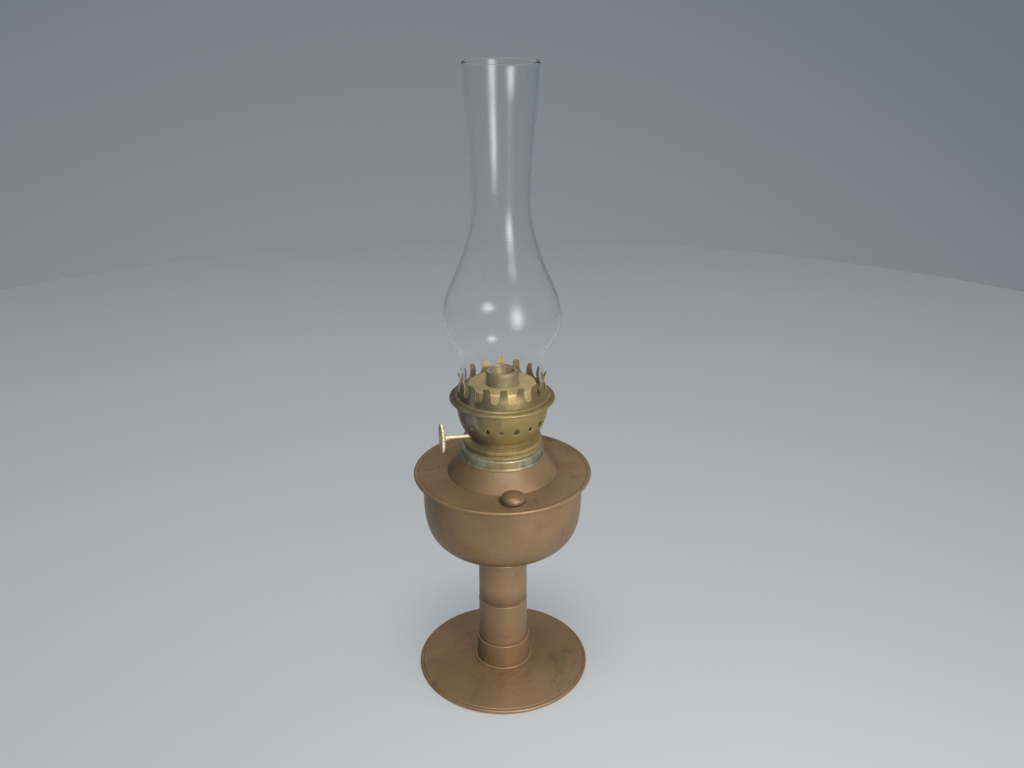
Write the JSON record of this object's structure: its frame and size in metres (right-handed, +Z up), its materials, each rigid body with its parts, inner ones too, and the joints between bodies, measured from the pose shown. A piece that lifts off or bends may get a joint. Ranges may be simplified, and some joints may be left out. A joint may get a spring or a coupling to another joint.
{
  "type": "oil lamp",
  "caption": "Round-wick oil table lamp with a bronze foot, stem and font, a brass draught burner with a prong crown, a wick knob and a clear glass chimney.",
  "frame": {"origin": "centre of the foot on the plane it rests on, under the felt", "axes": "+Z up along the lamp's axis; the wick knob points towards -X and 10.5 degrees towards -Y; the filler cap is on the -Y side of the font"},
  "size_m": [0.15, 0.15, 0.519],
  "materials": {
    "bronze": "brown bronze patina, satin, with reddish blotches and dark specks",
    "burner_brass": "aged brass, satin, darker in the recesses",
    "patina_brass": "brass with a grey-green patina and silvery streaks",
    "pale_brass": "pale, lightly tarnished brass",
    "chimney_glass": "clear blown glass, polished",
    "wick_cotton": "woven cotton, charred at its top edge",
    "felt": "dark green felt",
    "cork": "dark oil-stained cork and rubber",
    "iron": "rough casting",
    "steel": "plain turned steel"
  },
  "bodies": {
    "stand": {"base_felt": "felt", "foot_plate": "bronze", "foot_weight": "iron", "foot_bead_ring": "bronze", "stem_foot_collar": "bronze", "stem_lower_sleeve": "bronze", "stem_upper_tube": "bronze", "tie_rod": "steel", "tie_washer": "steel", "tie_nut": "steel", "font_socket": "bronze", "font_bowl": "bronze", "font_top": "bronze", "font_collar": "patina_brass", "filler_neck": "bronze"},
    "burner_seat": {"burner_washer": "cork"},
    "burner": {"burner_base": "burner_brass", "burner_basket": "burner_brass", "gallery_ring": "burner_brass", "prong_crown": "burner_brass", "deck_plate": "burner_brass", "outer_wick_tube": "patina_brass", "inner_air_tube": "patina_brass", "spindle_bearing": "burner_brass"},
    "wick_feed": {"wick": "wick_cotton", "wick_rack": "burner_brass"},
    "knob_shaft": {"wick_spindle": "pale_brass", "drive_pinion": "burner_brass", "wick_knob": "pale_brass"},
    "glass": {"chimney": "chimney_glass"},
    "cap_seat": {"filler_gasket": "cork"},
    "cap": {"filler_cap": "bronze"}
  },
  "joints": [
    {"name": "burner_rise", "type": "slide", "parent": "stand", "child": "burner_seat", "axis": [0, 0, 1], "range_m": [0, 0.0063]},
    {"name": "burner_turn", "type": "hinge", "parent": "burner_seat", "child": "burner", "pos_m": [0, 0, 0.2188], "axis": [0, 0, 1], "range_deg": [0, 900]},
    {"name": "knob_turn", "type": "hinge", "parent": "burner", "child": "knob_shaft", "pos_m": [-0.04916, -0.00911, 0.2272], "axis": [-0.9833, -0.1822, 0], "range_deg": [-55, 140]},
    {"name": "wick_lift", "type": "slide", "parent": "burner", "child": "wick_feed", "axis": [0, 0, 1], "range_m": [-0.0039, 0.0098]},
    {"name": "chimney_lift", "type": "slide", "parent": "burner", "child": "glass", "axis": [0, 0, 1], "range_m": [0, 0.06]},
    {"name": "cap_rise", "type": "slide", "parent": "stand", "child": "cap_seat", "axis": [0, 0, 1], "range_m": [0, 0.0037]},
    {"name": "cap_turn", "type": "hinge", "parent": "cap_seat", "child": "cap", "pos_m": [0.0083, -0.0545, 0.1971], "axis": [0, 0, 1], "range_deg": [0, 1080]}
  ],
  "couplings": [
    {"joint": "burner_rise", "follows": "burner_turn", "m_per_rad": 0.00039789},
    {"joint": "wick_lift", "follows": "knob_turn", "m_per_rad": 0.004},
    {"joint": "cap_rise", "follows": "cap_turn", "m_per_rad": 0.00019099}
  ]
}
